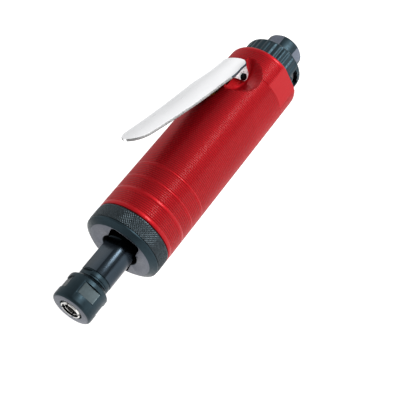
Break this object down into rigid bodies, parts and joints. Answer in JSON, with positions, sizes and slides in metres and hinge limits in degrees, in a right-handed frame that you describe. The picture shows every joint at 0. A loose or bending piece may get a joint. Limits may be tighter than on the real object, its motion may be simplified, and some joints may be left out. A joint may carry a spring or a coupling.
{
  "type": "air die grinder",
  "caption": "Straight air die grinder: ribbed red housing, hinged lever throttle on top, clamp ring, spindle neck and collet nut at the front, exhaust deflector and hose inlet at the rear.",
  "frame": {"origin": "on the spindle axis, at the middle of the red housing's 107 mm length", "axes": "+X along the spindle towards the collet, +Z towards the lever, +Y to the left of someone who holds it with the lever on top and the collet ahead"},
  "size_m": [0.173, 0.037, 0.0541],
  "materials": {
    "red_anodised": "fine-ribbed, red anodised",
    "plated_sheet": "pressed sheet, satin bright plating",
    "black_oxide": "black oxide, lightly oiled",
    "bright_steel": "ground bright",
    "ground_steel": "ground",
    "cast_iron": "machined",
    "brass": "turned",
    "seal_rubber": "nitrile rubber",
    "felt": "pressed felt",
    "vane_resin": "laminated phenolic resin"
  },
  "bodies": {
    "body": {"housing": "red_anodised", "clamp_ring": "black_oxide", "front_plate": "cast_iron", "bearing_retainer": "ground_steel", "front_bearing_outer": "ground_steel", "cylinder": "cast_iron", "cylinder_dowel": "ground_steel", "rear_plate": "cast_iron", "rear_bearing_outer": "ground_steel", "stem_guide": "brass", "stem_seal": "seal_rubber", "valve_plug": "black_oxide", "valve_spring": "ground_steel", "inlet_bushing": "black_oxide", "inlet_seal": "seal_rubber", "inlet_screen": "bright_steel", "lever_pin": "black_oxide"},
    "spindle": {"rotor": "ground_steel", "vane_1": "vane_resin", "vane_2": "vane_resin", "vane_3": "vane_resin", "vane_4": "vane_resin", "vane_5": "vane_resin", "front_bearing_inner": "ground_steel", "rear_bearing_inner": "ground_steel", "collet_body": "black_oxide", "collet": "bright_steel"},
    "nut": {"collet_nut": "black_oxide"},
    "front_balls": {"front_bearing_balls": "brass"},
    "rear_balls": {"rear_bearing_balls": "brass"},
    "throttle_lever": {"lever": "plated_sheet"},
    "throttle": {"valve_stem": "brass", "throttle_valve": "seal_rubber"},
    "deflector": {"exhaust_deflector": "black_oxide", "muffler": "felt"}
  },
  "joints": [
    {"name": "spindle_spin", "type": "hinge", "parent": "body", "child": "spindle", "pos_m": [0, 0, 0], "axis": [1, 0, 0], "continuous": true},
    {"name": "nut_turn", "type": "hinge", "parent": "spindle", "child": "nut", "pos_m": [0.09, 0, 0], "axis": [1, 0, 0], "range_deg": [0, 180]},
    {"name": "front_balls_spin", "type": "hinge", "parent": "body", "child": "front_balls", "pos_m": [0.0392, 0, 0], "axis": [1, 0, 0], "continuous": true},
    {"name": "rear_balls_spin", "type": "hinge", "parent": "body", "child": "rear_balls", "pos_m": [-0.00625, 0, 0], "axis": [1, 0, 0], "continuous": true},
    {"name": "lever_press", "type": "hinge", "parent": "body", "child": "throttle_lever", "pos_m": [-0.0366, 0, 0.0139], "axis": [0, 1, 0], "range_deg": [0, 10.5], "stiffness_Nm_per_rad": 0.22, "springref_deg": -14.32},
    {"name": "throttle_slide", "type": "slide", "parent": "body", "child": "throttle", "axis": [0, 0, -1], "range_m": [0, 0.0029], "deforming": ["valve_spring"]},
    {"name": "deflector_turn", "type": "hinge", "parent": "body", "child": "deflector", "pos_m": [-0.059, 0, 0], "axis": [1, 0, 0], "continuous": true}
  ],
  "couplings": [
    {"joint": "front_balls_spin", "follows": "spindle_spin", "ratio": 0.391},
    {"joint": "rear_balls_spin", "follows": "spindle_spin", "ratio": 0.368},
    {"joint": "throttle_slide", "follows": "lever_press", "m_per_rad": 0.0157}
  ]
}
